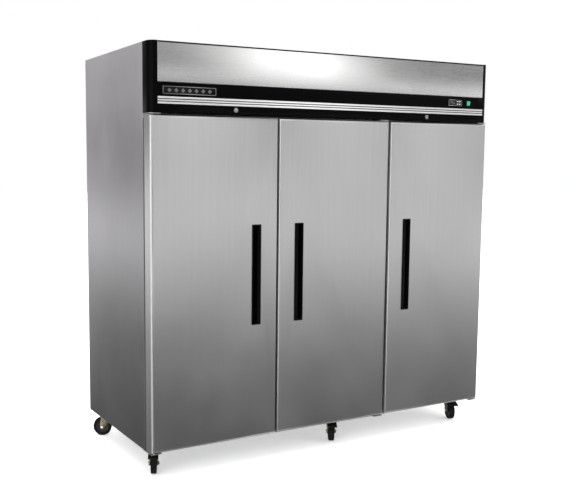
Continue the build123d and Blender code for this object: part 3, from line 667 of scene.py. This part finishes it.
def wire_shelf(low, high):
    """Coated round wire: a rim, close slats on top, and two bars that carry them."""
    rim = (high.z - low.z) / 2
    level = (low.z + high.z) / 2
    left, right = low.x + rim, high.x - rim
    front, back = low.y + rim, high.y - rim
    corners = [(left, front, level), (right, front, level), (right, back, level), (left, back, level)]
    pieces = [rod("shelf", corners[turn], corners[(turn + 1) % 4], rim, 12) for turn in range(4)]
    for corner in corners:
        bpy.ops.mesh.primitive_uv_sphere_add(segments=12, ring_count=8, radius=rim, location=corner)
        pieces.append(apply_place(bpy.context.object))
    for share in (0.33, 0.67):
        bar = front + (back - front) * share
        pieces.append(rod("shelf", (left, bar, level - CROWN), (right, bar, level - CROWN), BAR_R, 10))
    count = round((right - left) / SLAT_PITCH) - 1
    pitch = (right - left) / (count + 1)
    above = level + CROWN
    slat = rod("shelf", (left + pitch, front, above), (left + pitch, back, above), SLAT_R, 8)
    pieces.append(repeat(slat, count, (pitch, 0, 0)))
    return join("shelf", pieces)


shelves = join("wire_shelves_round", [wire_shelf(low, high) for low, high in solid_boxes("wire_shelves")])
stand_for(shelves, "wire_shelves", wire_white)


def slotted_post(low, high):
    """A shelf standard with a sunk slot for the clips at every pitch."""
    count = round((high.z - low.z) / SLOT_PITCH)
    step = (high.z - low.z) / count
    piece = block("post", low, (high.x, high.y, low.z + step))
    wide = high - low
    axis = 0 if wide.x < wide.y else 1
    side = -1 if low[axis] > 0 else 1
    sink(piece, lambda centre, normal: normal[axis] * side > 0.9, SLOT_BORDER, SLOT_DEPTH)
    return repeat(piece, count, (0, 0, step))


slotted = [slotted_post(low, high) for low, high in solid_boxes("shelf_standards")]
posts = join("shelf_standards_slotted", slotted)
stand_for(posts, "shelf_standards", stainless_frame)


# ---------------------------------------------------------------- coils and fans
FIN_THICKNESS = 0.5 * MM
TUBE_R = 4.2 * MM
BEND_ROOM = 14 * MM
CONDENSER_GUARD_R = 104 * MM


def finned_block(name, low, high, pitch, rows, columns):
    """Thin plates, and the copper bends that stand out at both ends of them."""
    plate = block(name, low, (low.x + FIN_THICKNESS, high.y, high.z))
    plates = repeat(plate, int((high.x - low.x) / pitch), (pitch, 0, 0))
    bends = []
    for column in range(columns):
        y = low.y + (high.y - low.y) * (column + 0.5) / columns
        for row in range(rows):
            z = low.z + (high.z - low.z) * (row + 0.5) / rows
            reach = (high.z - low.z) / rows / 4
            for x in (low.x, high.x):
                bends.append(ring(name, (x, y, z), (0, 1, 0), reach, TUBE_R, 20, 8))
    return plates, join(name + "_bends", bends)


def coil(node, pitch, rows, columns, inset):
    low, high = solid_boxes(node)[0]
    body = NODE_BODY[node]
    inner_low = Vector((low.x + inset, low.y, low.z + 2 * MM))
    inner_high = Vector((high.x - inset, high.y, high.z))
    plates, bends = finned_block(node + "_fins", inner_low, inner_high, pitch, rows, columns)
    ends = []
    for x in (inner_low.x, inner_high.x):
        ends.append(block(node + "_ends", (x - 1 * MM, low.y, low.z), (x + 1 * MM, high.y, high.z)))
    finish(bends, body, copper_pipe)
    finish(join(node + "_ends", ends), body, sheet_zinc)
    finish(plates, body, fins, [node])


shroud = merged_copy("condenser")
shroud.name = "condenser_shroud"
coil_back = solid_boxes("condenser")[0][1].y
edit(shroud, "VERT")
shape = bmesh.from_edit_mesh(shroud.data)
for vert in shape.verts:
    vert.select = vert.co.y < coil_back + 0.1 * MM
shape.select_flush(True)
bmesh.update_edit_mesh(shroud.data)
bpy.ops.mesh.delete(type="VERT")
close_edit()
soften(shroud, 0.8 * MM)
finish(shroud, "cabinet", sheet_zinc)
coil("condenser", 4 * MM, 9, 2, BEND_ROOM)
coil("evaporator_coil", 6 * MM, 3, 4, BEND_ROOM)


def fan_guard(name, centre, radius, rings, wire):
    """Rings of wire on four crossed bars, in a plane of constant Y."""
    centre = Vector(centre)
    pieces = []
    for step in range(rings):
        pieces.append(ring(name, centre, (0, 1, 0), radius * (step + 1) / rings, wire, 40, 6))
    for turn in range(4):
        across = Vector((cos(turn * pi / 4), 0, sin(turn * pi / 4))) * radius
        pieces.append(rod(name, centre - across, centre + across, wire * 1.2, 8))
    return join(name, pieces)


for side in ("left", "right"):
    low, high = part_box(f"evaporator_fan_{side}")
    housing_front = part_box("evaporator_housing")[0].y
    radius = (high.z - low.z) / 2 + 5 * MM
    centre = ((low.x + high.x) / 2, housing_front - 2 * MM, (low.z + high.z) / 2)
    guard = fan_guard(f"evaporator_guard_{side}", centre, radius, 6, 1.1 * MM)
    finish(guard, "cabinet", bright_zinc)
low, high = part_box("condenser_fan")
guard_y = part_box("condenser")[1].y + 2 * MM
centre = ((low.x + high.x) / 2, guard_y, (low.z + high.z) / 2)
guard = fan_guard("condenser_guard", centre, CONDENSER_GUARD_R, 9, 1.3 * MM)
finish(guard, "cabinet", bright_zinc)


# ---------------------------------------------------------------- header details
def frame_bars(name, low, high, width):
    """Four bars that border a rectangle facing -Y."""
    low, high = Vector(low), Vector(high)
    bars = [
        block(name, low, (high.x, high.y, low.z + width)),
        block(name, (low.x, low.y, high.z - width), high),
        block(name, (low.x, low.y, low.z + width), (low.x + width, high.y, high.z - width)),
        block(name, (high.x - width, low.y, low.z + width), (high.x, high.y, high.z - width)),
    ]
    return soften(join(name, bars), width * 0.2)


PROUD = 0.5 * MM
DIAMONDS = 7
DIAMOND_R = 10 * MM
low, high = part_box("badge_plate")
rim_low = (low.x + 2 * MM, low.y - PROUD, low.z + 2 * MM)
rim = frame_bars("badge_rim", rim_low, (high.x - 2 * MM, low.y, high.z - 2 * MM), 1.6 * MM)
finish(rim, "cabinet", badge_bright)
middle_z = (low.z + high.z) / 2
marks = []
for step in range(DIAMONDS):
    x = low.x + (high.x - low.x) * (step + 1) / (DIAMONDS + 1)
    inside = (x, low.y + PROUD, middle_z)
    marks.append(rod("badge_marks", inside, (x, low.y - PROUD, middle_z), DIAMOND_R, 4))
finish(join("badge_marks", marks), "cabinet", mark_grey)

low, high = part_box("header_panel")
# A black strip along the header panel's top edge: painted shade where the panel's top return edge lies in
# shadow.
top_low = (low.x + 1 * MM, low.y - 0.8 * MM, high.z - 4.5 * MM)
top_shade_strip = block("header_top_shade_strip", top_low, (high.x - 1 * MM, low.y + 12 * MM, high.z + 2 * MM))
finish(soften(top_shade_strip, 0.5 * MM), "header_panel", black_moulding)

GROOVE_HALF = 2.2 * MM
low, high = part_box("header_trim_strip")
third = (high.z - low.z) / 3
ribs = []
for step in range(3):
    foot = low.z + step * third + (GROOVE_HALF if step else 0.0)
    top = low.z + (step + 1) * third - (GROOVE_HALF if step < 2 else 0.0)
    ribs.append(block("strip", (low.x, low.y, foot), (high.x, high.y, top)))
stand_for(soften(join("header_trim_ribbed", ribs), 0.6 * MM), "header_trim_strip", trim_silver)
groove_low = (low.x + 0.5 * MM, low.y + (high.y - low.y) * 0.4, low.z + 1 * MM)
groove_high = (high.x - 0.5 * MM, high.y - 0.2 * MM, high.z - 1 * MM)
groove_back = block("header_trim_grooves", groove_low, groove_high)
finish(soften(groove_back, 0.3 * MM), "cabinet", groove_grey)

low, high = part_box("temperature_controller")
front = low.y
rim_low = (low.x + 1 * MM, front - PROUD, low.z + 1 * MM)
controller_rim = frame_bars("controller_rim", rim_low, (high.x - 1 * MM, front, high.z - 1 * MM), 1.8 * MM)
finish(controller_rim, "cabinet", badge_bright)
window_low = (low.x + 9 * MM, front - 0.4 * MM, low.z + 7 * MM)
window = block("display_window", window_low, (low.x + 55 * MM, front + 0.4 * MM, high.z - 7 * MM))
finish(soften(window, 0.3 * MM), "cabinet", display_black)

# Each bar of a digit: its steps across and up from the digit's centre, and whether it lies level.
BARS = {
    "a": (0, 2, True),
    "b": (1, 1, False),
    "c": (1, -1, False),
    "d": (0, -2, True),
    "e": (-1, -1, False),
    "f": (-1, 1, False),
    "g": (0, 0, True),
}
DIGITS = ("abcdg", "abcdefg")
DIGIT_PITCH = 13
STEP_ACROSS = 3.5
STEP_UP = 3.4
BAR_LONG = 2.6 * MM
BAR_THIN = 0.7 * MM
bars = []
for place, lit_bars in enumerate(DIGITS):
    for key in lit_bars:
        across, up, level = BARS[key]
        x = low.x + (26 + DIGIT_PITCH * place + STEP_ACROSS * across) * MM
        z = (low.z + high.z) / 2 + STEP_UP * up * MM
        half_x, half_z = (BAR_LONG, BAR_THIN) if level else (BAR_THIN, BAR_LONG)
        bar_low = (x - half_x, front - 0.6 * MM, z - half_z)
        bars.append(block("digits", bar_low, (x + half_x, front - 0.3 * MM, z + half_z)))
finish(soften(join("display_digits", bars), 0.1 * MM), "cabinet", digit_dim)
KEY_COLUMNS = (64 * MM, 80 * MM)
KEY_ROWS = (10 * MM, 24 * MM)
keys = []
for across in KEY_COLUMNS:
    for up in KEY_ROWS:
        x = low.x + across
        z = low.z + up
        key_low = (x - 5 * MM, front - 0.8 * MM, z - 3 * MM)
        keys.append(block("keys", key_low, (x + 5 * MM, front + 0.4 * MM, z + 3 * MM)))
finish(soften(join("controller_keys", keys), 0.7 * MM, 3), "cabinet", box_grey)


# ---------------------------------------------------------------- lamps, fastenings and machine parts
LAMP_HALF = 190 * MM
LENS_HALF = 182 * MM
LENS_R = 8 * MM
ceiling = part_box("evaporator_housing")[1].z
liner_low, liner_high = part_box("inner_liner")
mullion_boxes = solid_boxes("mullions")
bay_centres = (
    (liner_low.x + mullion_boxes[0][0].x) / 2,
    (mullion_boxes[0][1].x + mullion_boxes[1][0].x) / 2,
    (mullion_boxes[1][1].x + liner_high.x) / 2,
)
lamp_y = mullion_boxes[0][1].y + 12 * MM
for number, x in enumerate(bay_centres, 1):
    case_low = (x - LAMP_HALF, lamp_y - 14 * MM, ceiling - 8 * MM)
    case = block("lamp_case", case_low, (x + LAMP_HALF, lamp_y + 14 * MM, ceiling - 0.3 * MM))
    finish(soften(case, 2 * MM), "cabinet", sheet_zinc).name = f"lamp_case_{number}"
    ends = [(x + side * LENS_HALF, lamp_y, ceiling - 9 * MM) for side in (-1, 1)]
    lens = soften(rod("lamp_lens", *ends, LENS_R, 24), 1.5 * MM)
    finish(lens, "cabinet", lamp_white).name = f"lamp_lens_{number}"

low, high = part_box("back_panel")
SCREW_MARGIN = 30 * MM
run = high.z - low.z - 2 * SCREW_MARGIN
rows = [low.z + SCREW_MARGIN + run * step / 8 for step in range(9)]
places = [(side * (high.x - 18 * MM), high.y, z) for z in rows for side in (-1, 1)]
for step in range(1, 6):
    for z in (low.z + 18 * MM, high.z - 18 * MM):
        places.append((low.x + (high.x - low.x) * step / 6, high.y, z))
finish(screws("back_screws", places, (0, 1, 0), 5 * MM, 1.6 * MM), "cabinet", bright_zinc)

# A cover strip over each joint of the back, opposite the mullions.
SEAM_HALF = 32 * MM
SEAM_PROUD = 1.2 * MM
SEAM_MARGIN = 50 * MM
seam_bottom = low.z
seam_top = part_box("deck_panel")[0].z
run = seam_top - seam_bottom - 2 * SEAM_MARGIN
seams = []
places = []
for x in (mullion_boxes[0][0].x, mullion_boxes[1][1].x):
    seam_corner = (x + SEAM_HALF, high.y + SEAM_PROUD, seam_top)
    seam = block("back_seams", (x - SEAM_HALF, high.y, seam_bottom + 3 * MM), seam_corner)
    seams.append(sink(seam, lambda centre, normal: normal.y > 0.9, 9 * MM, 0.7 * MM))
    for step in range(8):
        z = seam_bottom + SEAM_MARGIN + run * step / 7
        places += [(x + side * 27 * MM, high.y + SEAM_PROUD, z) for side in (-1, 1)]
finish(soften(join("back_seams", seams), 0.4 * MM), "cabinet", sheet_zinc)
finish(screws("seam_screws", places, (0, 1, 0), 4 * MM, 1.4 * MM), "cabinet", bright_zinc)

low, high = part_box("control_box")
lid_low = (low.x - 2 * MM, low.y - 1.5 * MM, low.z + 6 * MM)
lid = block("control_lid", lid_low, (high.x + 2 * MM, low.y, high.z - 4 * MM))
finish(soften(lid, 0.6 * MM), "cabinet", box_grey)
places = []
for x in (low.x + 12 * MM, high.x - 12 * MM):
    for z in (low.z + 18 * MM, high.z - 16 * MM):
        places.append((x, low.y - 1.5 * MM, z))
lid_screws = screws("control_lid_screws", places, (0, -1, 0), 4 * MM, 1.6 * MM)
finish(lid_screws, "cabinet", bright_zinc)

low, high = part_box("compressor")
centre_x, centre_y = (low.x + high.x) / 2, (low.y + high.y) / 2
shell_r = (high.y - low.y) / 2
seam_z = low.z + 0.48 * (high.z - low.z)
seam = ring("compressor_seam", (centre_x, centre_y, seam_z), (0, 0, 1), shell_r, 2.2 * MM, 72, 10)
finish(seam, "cabinet", compressor_black)
cover_low = (centre_x - 32 * MM, centre_y - shell_r - 18 * MM, seam_z - 50 * MM)
cover_high = (centre_x + 32 * MM, centre_y - shell_r + 20 * MM, seam_z + 22 * MM)
cover = soften(block("terminal_cover", cover_low, cover_high), 5 * MM, 4)
finish(cover, "cabinet", nylon_black)


# ---------------------------------------------------------------- caster wheels
HUB_R = 35 * MM
HUB_REACH = (8 * MM, 10.5 * MM)
BOLT_R = 7.5 * MM
BOLT_REACH = (22 * MM, 28.5 * MM)
ROLLS = {joint["child"]: joint for joint in frame["joints"] if joint["name"].startswith("caster_roll")}
for body, joint in ROLLS.items():
    centre = Vector(joint["pos_m"])
    axis = Vector(joint["axis"]).normalized()
    discs = []
    for outwards in (-axis, axis):
        inner, outer = [centre + outwards * reach for reach in HUB_REACH]
        disc = rod("hub", inner, outer, HUB_R, 40)
        discs.append(sink(disc, lambda spot, normal: normal.dot(outwards) > 0.9, 5 * MM, 1.2 * MM))
    finish(soften(join(body + "_hub", discs), 0.3 * MM), body, hub_grey)
    bolts = []
    for outwards in (-axis, axis):
        inner, outer = [centre + outwards * reach for reach in BOLT_REACH]
        bolts.append(rod("bolt", inner, outer, BOLT_R, 6))
    fork = joint["parent"]
    finish(soften(join(body + "_axle_bolts", bolts), 0.6 * MM), fork, bright_zinc)


# ---------------------------------------------------------------- floor, light and camera
# What the steel mirrors of the room: its tone at each height, given as the sine of the elevation.
ROOM_TONES = (
    (-1.0, 0.6),
    (-0.7, 0.42),
    (-0.38, 0.05),
    (-0.20, 0.33),
    (-0.12, 0.95),
    (-0.06, 1.30),
    (-0.02, 0.92),
    (0.02, 0.08),
    (0.07, 0.05),
    (0.2, 0.26),
    (0.6, 0.4),
    (1.0, 0.7),
)
# Each tall light: its heading from straight ahead of the doors, the half widths of its core and its
# edge in degrees, its lowest and highest reach as the sine of its elevation, and how much it adds.
TALL_LIGHTS = (
    (32.8, 1.0, 20.0, -0.01, 0.55, 1.75),
    (-55.0, 14.0, 32.0, -0.7, 0.6, 2.0),
    (-158.0, 10.0, 60.0, -0.5, 0.6, 0.12),
    (106.0, 12.0, 32.0, -0.7, 0.6, 2.2),
)


def new_world():
    """White behind the camera's view; around it, a room that darkens towards the floor."""
    world = bpy.data.worlds.new("studio")
    world.use_nodes = True
    nodes, links = world.node_tree.nodes, world.node_tree.links
    nodes.clear()

    def node(kind, **settings):
        made = nodes.new(kind)
        for key, value in settings.items():
            setattr(made, key, value)
        return made

    def span(source, from_low, from_high, to_low, to_high):
        made = node("ShaderNodeMapRange", interpolation_type="SMOOTHSTEP")
        limits = {"From Min": from_low, "From Max": from_high, "To Min": to_low, "To Max": to_high}
        for key, value in limits.items():
            made.inputs[key].default_value = value
        links.new(source, made.inputs["Value"])
        return made.outputs["Result"]

    def dot(source, towards):
        made = node("ShaderNodeVectorMath", operation="DOT_PRODUCT")
        made.inputs[1].default_value = towards
        links.new(source, made.inputs[0])
        return made.outputs["Value"]

    direction = node("ShaderNodeTexCoord").outputs["Generated"]
    split = node("ShaderNodeSeparateXYZ")
    links.new(direction, split.inputs["Vector"])
    ramp = node("ShaderNodeValToRGB")
    elements = ramp.color_ramp.elements
    while len(elements) > 1:
        elements.remove(elements[-1])
    for index, (height, tone) in enumerate(ROOM_TONES):
        element = elements[0] if index == 0 else elements.new((height + 1) / 2)
        element.position = (height + 1) / 2
        element.color = (tone, tone, tone, 1.0)
    rise = node("ShaderNodeMapRange")
    rise.inputs["From Min"].default_value = -1.0
    links.new(split.outputs["Z"], rise.inputs["Value"])
    links.new(rise.outputs["Result"], ramp.inputs["Fac"])
    total = ramp.outputs["Color"]
    for heading, core, edge, lowest, highest, gain in TALL_LIGHTS:
        ahead = Vector((sin(radians(heading)), -cos(radians(heading)), 0.0))
        beside = Vector((ahead.y, -ahead.x, 0.0))
        offset = node("ShaderNodeMath", operation="ABSOLUTE")
        links.new(dot(direction, beside), offset.inputs[0])
        parts = (
            span(offset.outputs["Value"], sin(radians(core)), sin(radians(edge)), gain, 0.0),
            span(dot(direction, ahead), 0.0, 0.2, 0.0, 1.0),
            span(split.outputs["Z"], lowest, lowest + 0.06, 0.0, 1.0),
            span(split.outputs["Z"], highest, highest + 0.2, 1.0, 0.0),
        )
        glow = parts[0]
        for part in parts[1:]:
            product = node("ShaderNodeMath", operation="MULTIPLY")
            links.new(glow, product.inputs[0])
            links.new(part, product.inputs[1])
            glow = product.outputs["Value"]
        add = node("ShaderNodeVectorMath", operation="ADD")
        links.new(total, add.inputs[0])
        links.new(glow, add.inputs[1])
        total = add.outputs["Vector"]
    room = node("ShaderNodeBackground")
    links.new(total, room.inputs["Color"])
    seen = node("ShaderNodeBackground")
    seen.inputs["Color"].default_value = (1.0, 1.0, 1.0, 1.0)
    path = node("ShaderNodeLightPath")
    mix = node("ShaderNodeMixShader")
    links.new(path.outputs["Is Camera Ray"], mix.inputs["Fac"])
    links.new(room.outputs["Background"], mix.inputs[1])
    links.new(seen.outputs["Background"], mix.inputs[2])
    links.new(mix.outputs["Shader"], node("ShaderNodeOutputWorld").inputs["Surface"])
    return world


bpy.context.scene.world = new_world()

deselect()
bpy.ops.mesh.primitive_plane_add(size=80)
floor = bpy.context.object
floor.name = "studio_floor"
floor.visible_glossy = False
pale = Finish("studio_floor", (0.94, 0.94, 0.94), 0.8)
pale.shader.inputs["Specular IOR Level"].default_value = 0.1
pale.shader.inputs["Emission Color"].default_value = (1.0, 1.0, 1.0, 1.0)
pale.shader.inputs["Emission Strength"].default_value = 0.35
floor.data.materials.append(pale.material)
floor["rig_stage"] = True


def softbox(name, place, target, width, height, power):
    light = bpy.data.lights.new(name, "AREA")
    light.shape = "RECTANGLE"
    light.size = width
    light.size_y = height
    light.energy = power
    lamp = bpy.data.objects.new(name, light)
    bpy.context.scene.collection.objects.link(lamp)
    lamp.location = place
    lamp.rotation_euler = (Vector(target) - Vector(place)).to_track_quat("-Z", "Y").to_euler()
    lamp.visible_glossy = False


sun = bpy.data.objects.new("overhead", bpy.data.lights.new("overhead", "SUN"))
sun.data.energy = 2.6
sun.data.angle = radians(70)
sun.visible_glossy = False
bpy.context.scene.collection.objects.link(sun)
middle = (cad_low + cad_high) / 2
softbox("front_left", (-3.6, -3.4, 2.9), middle, 2.2, 2.2, 60)
softbox("front_right", (3.8, -3.6, 2.6), middle, 2.0, 2.4, 50)
softbox("behind", (0.5, 4.4, 3.0), middle, 3.5, 2.4, 60)

CAMERA_PLACE = (-2.531, -3.823, 1.4745)
CAMERA_YAW = radians(27.30)
CAMERA_PITCH = radians(5.97)
camera_data = bpy.data.cameras.new("camera")
camera_data.sensor_width = 36.0
camera_data.lens = 51.98
camera_data.shift_x = 0.15
camera_data.clip_end = 200.0
camera = bpy.data.objects.new("camera", camera_data)
bpy.context.scene.collection.objects.link(camera)
camera.location = CAMERA_PLACE
ahead = Vector((sin(CAMERA_YAW), cos(CAMERA_YAW), 0.0)) * cos(CAMERA_PITCH)
sight = ahead - Vector((0.0, 0.0, sin(CAMERA_PITCH)))
camera.rotation_euler = sight.to_track_quat("-Z", "Y").to_euler()
bpy.context.scene.camera = camera
bpy.context.scene.view_settings.view_transform = "Standard"

low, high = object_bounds()
